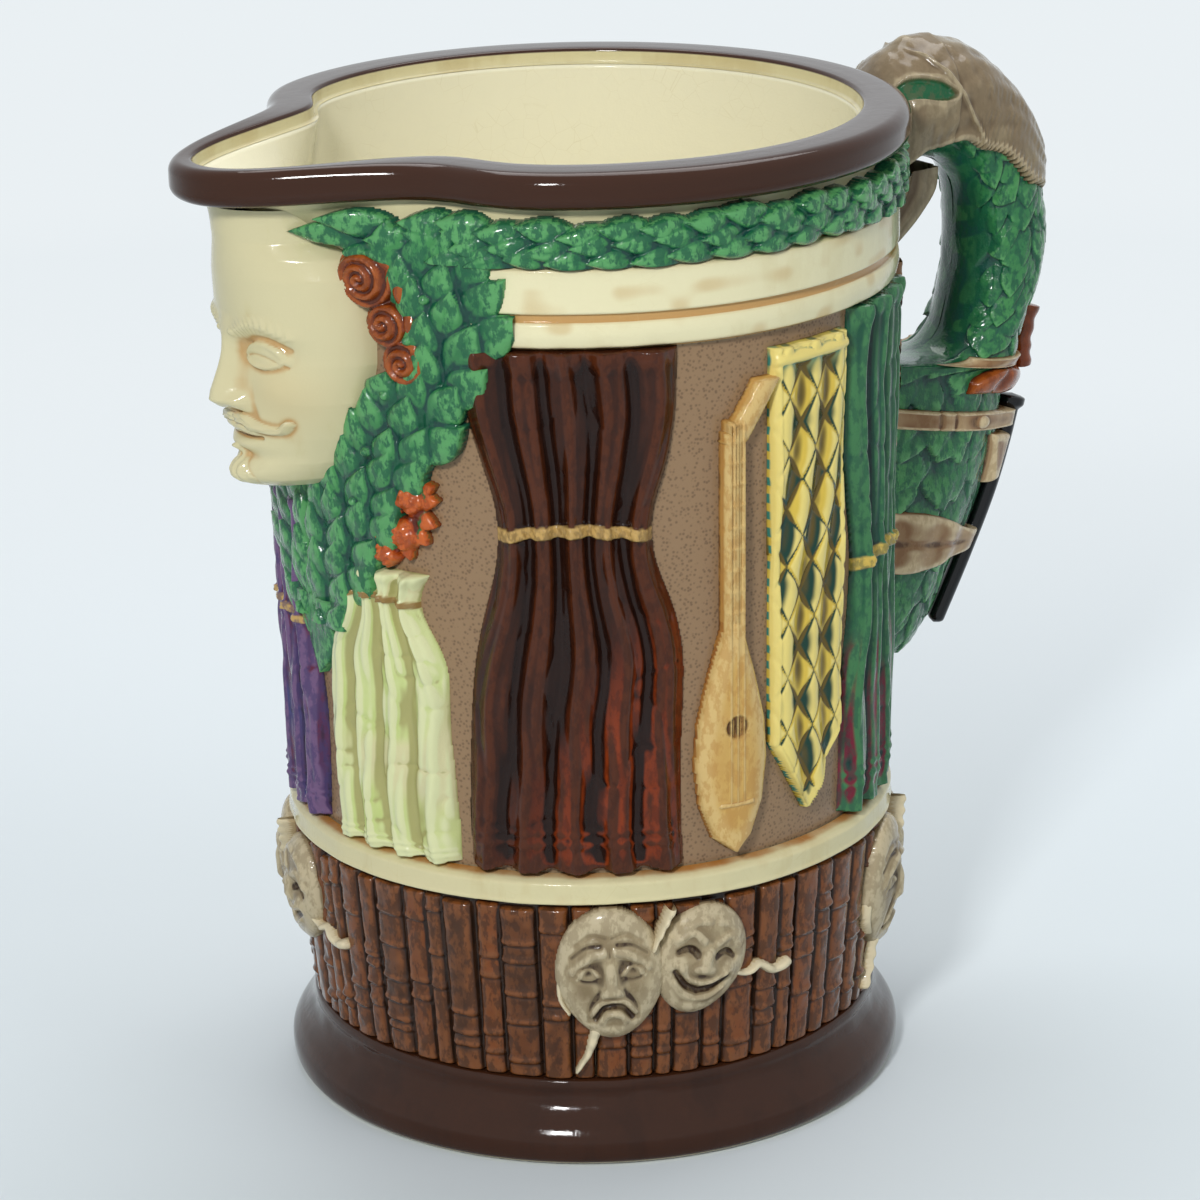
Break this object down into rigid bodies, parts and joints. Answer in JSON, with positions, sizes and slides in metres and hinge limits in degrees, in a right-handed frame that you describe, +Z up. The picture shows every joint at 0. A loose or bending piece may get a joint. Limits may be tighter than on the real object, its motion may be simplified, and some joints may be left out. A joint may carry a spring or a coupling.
{
  "type": "loving jug",
  "caption": "Relief-moulded loving jug with a pouring lip over a garlanded head, a loop handle dressed as a draped scabbard, and a row of books above a brown foot.",
  "frame": {"origin": "on the jug's axis, in the plane that it stands on", "axes": "+Z up along the jug's axis, +X towards the handle, -X towards the pouring lip"},
  "size_m": [0.2649, 0.174, 0.2716],
  "materials": {
    "cream_glaze": "glossy crazed",
    "brown_glaze": "glossy",
    "green_glaze": "glossy",
    "moss_glaze": "glossy",
    "russet_glaze": "glossy",
    "spine_glaze": "glossy",
    "taupe_glaze": "semi-matt",
    "tan_glaze": "semi-matt",
    "black_glaze": "glossy",
    "umber_glaze": "glossy",
    "pale_glaze": "glossy",
    "violet_glaze": "glossy",
    "teal_glaze": "glossy",
    "gold_glaze": "glossy",
    "bark_glaze": "semi-matt"
  },
  "bodies": {
    "root": {"vessel": "cream_glaze", "rim": "brown_glaze", "foot": "brown_glaze", "ribbon_ring": "cream_glaze", "book_row_1": "spine_glaze", "book_row_2": "spine_glaze", "book_row_3": "spine_glaze", "book_row_4": "spine_glaze", "book_row_5": "spine_glaze", "book_row_6": "spine_glaze", "tragedy_mask_1": "taupe_glaze", "comedy_mask_1": "taupe_glaze", "mask_ribbon_1": "cream_glaze", "tragedy_mask_2": "taupe_glaze", "comedy_mask_2": "taupe_glaze", "mask_ribbon_2": "cream_glaze", "tragedy_mask_3": "taupe_glaze", "comedy_mask_3": "taupe_glaze", "mask_ribbon_3": "cream_glaze", "tragedy_mask_4": "taupe_glaze", "comedy_mask_4": "taupe_glaze", "mask_ribbon_4": "cream_glaze", "head": "cream_glaze", "curls_right": "russet_glaze", "laurel_right": "green_glaze", "curls_left": "russet_glaze", "laurel_left": "green_glaze", "laurel_tip": "green_glaze", "collar_right": "cream_glaze", "garland_right": "green_glaze", "collar_left": "cream_glaze", "garland_left": "green_glaze", "curtain_violet": "violet_glaze", "cloth_pale": "pale_glaze", "flower_bunch": "russet_glaze", "curtain_umber": "umber_glaze", "lute": "tan_glaze", "banner": "gold_glaze", "curtain_green": "teal_glaze", "tree_right": "bark_glaze", "tree_left": "bark_glaze", "urn": "tan_glaze", "curtain_moss": "moss_glaze", "curtain_rust": "russet_glaze", "shield": "gold_glaze", "curtain_cream": "pale_glaze", "handle": "green_glaze", "scabbard": "black_glaze", "hilt": "russet_glaze", "drape": "taupe_glaze", "hilt_guard": "russet_glaze", "strap_upper": "tan_glaze", "strap_lower": "tan_glaze", "scabbard_loop": "tan_glaze", "ribbon_lower": "tan_glaze", "cloth_tail": "taupe_glaze"}
  },
  "joints": []
}
